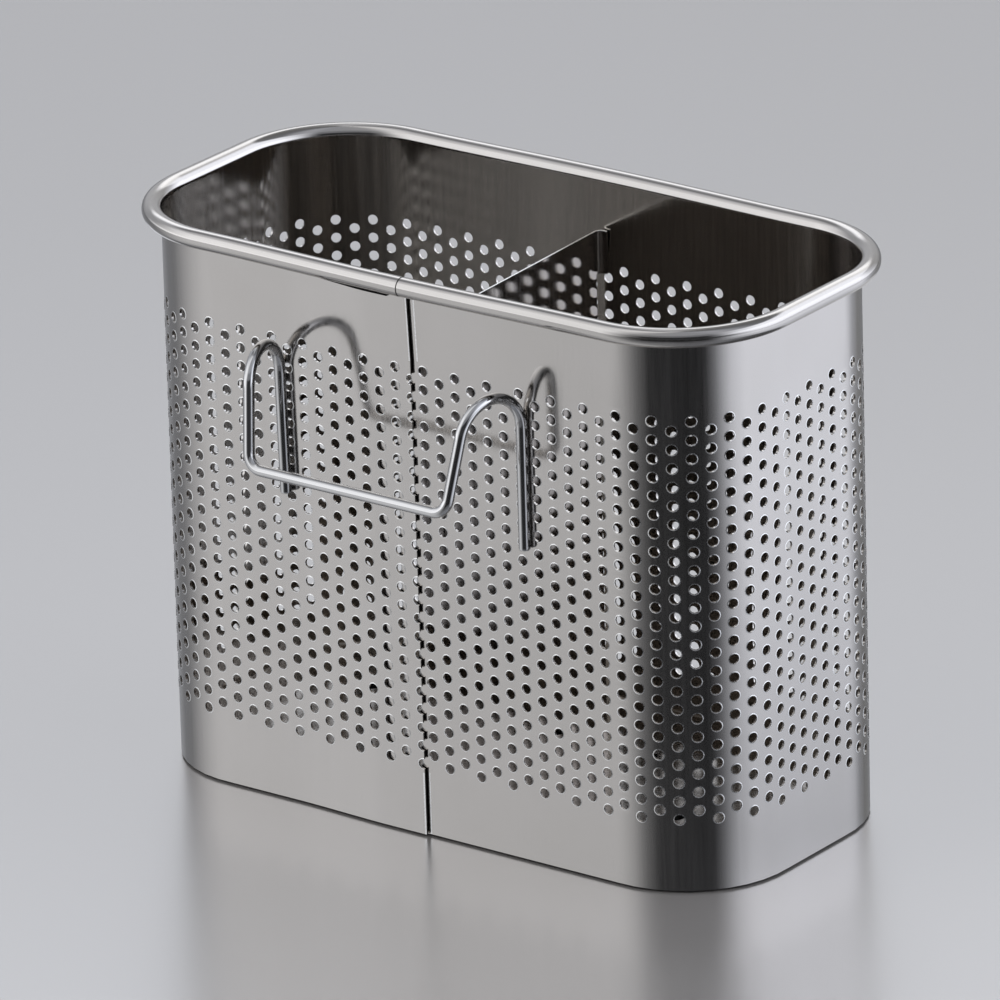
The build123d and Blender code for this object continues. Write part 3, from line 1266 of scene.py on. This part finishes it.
@dataclass(frozen=True)
class Studio:
    """The pale glossy floor, the soft light from above and the grey cards round the table.

    Azimuths count from the front, -Y, towards +X. The camera's side of the room is dark, which the
    polished corner shows as a band. What the object mirrors of the floor is dimmed, most of all in a
    strip beside the object: "dimmed" gives where the strip starts, is dimmest and ends, in metres, and
    the share that is left there.
    """

    floor_size: float = 6.0
    floor_colour: str = "B3AEA9"
    gloss_colour: str = "F6F6F6"
    away: tuple[float, float, float] = (-0.6, 0.8, 0.0)
    fall_off: tuple[float, float] = (-0.35, 0.45)
    far_shade: float = 0.93
    gloss: float = 0.525
    floor_roughness: float = 0.24
    mirrored_roughness: float = 0.08
    mirrored_share: float = 0.62
    mirrored_gloss: float = 0.99
    aside: tuple[float, float, float] = (0.87, 0.5, 0.0)
    dimmed: tuple[float, float, float, float] = (0.02, 0.10, 0.34, 0.74)
    past_strip: float = 1.1
    horizon: tuple[tuple[float, float], ...] = (
        (-180, 0.4), (-120, 0.4), (-100, 0.45), (-78, 1.3), (-60, 1.7), (-37, 1.6), (-17, 0.8), (-3, 0.06),
        (68, 0.05), (80, 0.2), (96, 1.2), (112, 1.7), (155, 1.7), (180, 0.45))
    cards: tuple[tuple[float, float], ...] = (
        (-180, 0.5), (-143, 0.6), (-125, 0.6), (-105, 0.48), (-90, 0.5), (-62, 1.2), (-45, 1.5), (-28, 1.22),
        (-8, 0.38), (6, 0.05), (60, 0.04), (70, 0.38), (88, 1.55), (104, 2.0), (150, 2.0), (166, 0.9),
        (180, 0.5))
    lights: tuple[tuple[float, float], ...] = (
        (-180, 1.3), (-165, 1.8), (-122, 1.8), (-108, 0.6), (-90, 0.55), (-74, 1.1), (-50, 1.4), (-25, 1.2),
        (-5, 0.4), (10, 0.28), (64, 0.28), (92, 1.2), (115, 1.7), (165, 1.7), (180, 1.3))
    crown: tuple[tuple[float, float], ...] = (
        (-180, 0.2), (-155, 0.35), (-135, 0.8), (-120, 0.5), (-104, 0.25), (-92, 0.4), (-80, 0.7), (-64, 0.9),
        (-50, 1.1), (-30, 1.1), (0, 0.5), (60, 0.45), (85, 0.6), (105, 0.5), (130, 0.25), (180, 0.2))
    steps: tuple[tuple[float, float], ...] = ((2.0, 9.0), (22.0, 28.0), (39.0, 46.0))
    tints: tuple[tuple[float, str], ...] = (
        (-180, "F6F8FC"), (-100, "EFF3FC"), (-60, "F5F7FC"), (-20, "F6F8FC"), (30, "EEF3FF"), (165, "EEF3FF"),
        (180, "F6F8FC"))
    strength: float = 2.0

    def light(self) -> None:
        """Make the world: four belts of grey cards and lights, one above the other."""
        world = bpy.data.worlds.new("studio")
        bpy.context.scene.world = world
        world.use_nodes = True
        tree = world.node_tree
        tree.nodes.clear()
        way = node(tree, "ShaderNodeTexCoord").outputs["Generated"]
        parts = node(tree, "ShaderNodeSeparateXYZ", {0: way}).outputs
        front = node(tree, "ShaderNodeMath", {0: parts[1], 1: -1.0}, operation="MULTIPLY").outputs[0]
        azimuth = node(tree, "ShaderNodeMath", {0: parts[0], 1: front}, operation="ARCTAN2").outputs[0]
        turned = ranged(tree, azimuth, (-math.pi, math.pi), (0.0, 1.0))
        height = node(tree, "ShaderNodeMath", {0: parts[2]}, operation="ARCSINE").outputs[0]
        shown = self._belt(tree, turned, self.horizon)
        for belt, step in zip((self.cards, self.lights, self.crown), self.steps):
            upper = self._belt(tree, turned, belt)
            share = ranged(tree, height, [math.radians(angle) for angle in step], (0.0, 1.0), smooth=True)
            shown = mixed(tree, share, shown, upper)
        glow = node(tree, "ShaderNodeBackground", {"Color": shown, "Strength": self.strength})
        node(tree, "ShaderNodeOutputWorld", {"Surface": glow.outputs[0]})

    def _belt(self, tree: NodeTree, turned: NodeSocket,
              levels: Sequence[tuple[float, float]]) -> NodeSocket:
        """Make one belt of the surroundings.

        Args:
            tree: the world's node tree.
            turned: the azimuth, from 0 to 1.
            levels: azimuths in degrees, each with its brightness.

        Returns:
            The belt's colour, before the world's strength.
        """
        ramp = node(tree, "ShaderNodeValToRGB", {"Fac": turned})
        stops = ramp.color_ramp.elements
        marks = [angle for angle, _ in self.tints]
        tints = np.array([srgb(tint)[:3] for _, tint in self.tints])
        for number, (angle, level) in enumerate(levels):
            place = (angle + 180) / 360
            stop = stops[number] if number < 2 else stops.new(place)
            stop.position = place
            tint = [np.interp(angle, marks, tints[:, i]) for i in range(3)]
            stop.color = (*[part * level / self.strength for part in tint], 1.0)
        return ramp.outputs[0]

    def floor(self) -> Object:
        """Lay the floor: a satin board that mirrors softly and darkens in tone towards the back, as painted
        shade for the light's fall-off.

        The object mirrors less of it than the camera sees, and least of the strip beside the object.

        Returns:
            The floor.
        """
        half = self.floor_size / 2
        mesh = bpy.data.meshes.new("floor")
        corners = [(-half, -half, 0), (half, -half, 0), (half, half, 0), (-half, half, 0)]
        mesh.from_pydata(corners, [], [(0, 1, 2, 3)])
        made = bpy.data.materials.new("satin_board")
        made.use_nodes = True
        tree = made.node_tree
        tree.nodes.clear()
        camera = node(tree, "ShaderNodeLightPath").outputs["Is Camera Ray"]
        place = node(tree, "ShaderNodeTexCoord").outputs["Object"]
        depth, beside = (node(tree, "ShaderNodeVectorMath", {0: place, 1: way}, operation="DOT_PRODUCT")
                         .outputs["Value"] for way in (self.away, self.aside))
        # The floor's colour and gloss darken towards the back: painted shade for the light's fall-off
        share = ranged(tree, depth, self.fall_off, (1.0, self.far_shade))
        near, dim, lit, least = self.dimmed
        left = (self.mirrored_share, self.mirrored_share * least)
        fall = ranged(tree, beside, (near, dim), left, smooth=True)
        rise = ranged(tree, beside, (dim, lit), (1.0, self.past_strip / least))
        pool = node(tree, "ShaderNodeMath", {0: fall, 1: rise}, operation="MULTIPLY").outputs[0]
        seen = ranged(tree, camera, (0.0, 1.0), (pool, 1.0))
        gloss_share = node(tree, "ShaderNodeMath", {0: share, 1: seen}, operation="MULTIPLY").outputs[0]
        colours = ((self.floor_colour, share), (self.gloss_colour, gloss_share))
        tones = [node(tree, "ShaderNodeVectorMath", {0: srgb(colour)[:3], 3: part}, operation="SCALE")
                 .outputs[0] for colour, part in colours]
        matt = node(tree, "ShaderNodeBsdfDiffuse", {"Color": tones[0]})
        soft = ranged(tree, camera, (0.0, 1.0), (self.mirrored_roughness, self.floor_roughness))
        shine = node(tree, "ShaderNodeBsdfGlossy", {"Color": tones[1], "Roughness": soft})
        gloss = ranged(tree, camera, (0.0, 1.0), (self.mirrored_gloss, self.gloss))
        both = node(tree, "ShaderNodeMixShader", {0: gloss, 1: matt.outputs[0], 2: shine.outputs[0]})
        node(tree, "ShaderNodeOutputMaterial", {"Surface": both.outputs[0]})
        laid = new_object("floor", mesh, made)
        return laid


@dataclass(frozen=True)
class Viewpoint:
    """The camera at the photograph's place, with a long lens.

    Angles are in degrees, the target, distance, lens and sensor in millimetres, and clips in metres.
    """

    azimuth: float = 36.828
    elevation: float = 20.939
    roll: float = -1.579
    target: tuple[float, float, float] = (6.766, -15.712, 84.183)
    distance: float = 3007.0
    lens: float = 422.77
    sensor: float = 36.0
    clips: tuple[float, float] = (0.05, 50.0)

    def place(self) -> Object:
        """Add the camera and make it the scene's own.

        Returns:
            The camera.
        """
        azimuth, elevation, roll = (math.radians(a) for a in (self.azimuth, self.elevation, self.roll))
        back = Vector((math.sin(azimuth) * math.cos(elevation), -math.cos(azimuth) * math.cos(elevation),
                       math.sin(elevation)))
        right = Vector((0, 0, 1)).cross(back).normalized()
        up = back.cross(right)
        level = Matrix((right, up, back)).transposed().to_4x4()
        data = bpy.data.cameras.new("camera")
        data.sensor_fit = "HORIZONTAL"
        data.sensor_width = self.sensor
        data.lens = self.lens
        data.clip_start, data.clip_end = self.clips
        camera = bpy.data.objects.new("camera", data)
        bpy.context.scene.collection.objects.link(camera)
        spot = (Vector(self.target) + back * self.distance) * MM
        camera.matrix_world = Matrix.Translation(spot) @ level @ Matrix.Rotation(roll, 4, "Z")
        bpy.context.scene.camera = camera
        return camera


def main() -> None:
    """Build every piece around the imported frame."""
    logging.basicConfig(level=logging.INFO, format="%(message)s")
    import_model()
    bpy.context.scene.view_settings.view_transform = "Standard"

    sheet = PolishedSheet().material()
    # A darker copy of the sheet for the wall's inner face: painted shade inside the basket
    inside = PolishedSheet("shade_darkened_inner_sheet", "B8B2AA", "AEA8A0", roughness=0.145).material()
    # A darker copy of the sheet for the divider: painted shade inside the basket
    parting = PolishedSheet("shade_darkened_divider_sheet", "A59F99", "9C958E", roughness=0.08).material()
    # Paler metal for hole lips, the seam's lip and the divider's top edge: painted highlight
    edge = PaintedHighlightEdge().material()
    # Dark matte for the crevice under the bead: painted shade
    crevice_shade = PaintedCreviceShade().material()
    wire = PolishedWire().material()
    wall = BasketWall()
    made = [*wall.dress(sheet, edge, inside, crevice_shade), BaseTray().dress(wall, sheet),
            Divider().dress(wall, parting, edge), RailHook().dress(wall, wire)]
    for piece in made:
        LOG.info("%s: %d faces", piece.name, len(piece.data.polygons))

    studio = Studio()
    studio.light()
    studio.floor()
    Viewpoint().place()


if __name__ == "__main__":
    main()
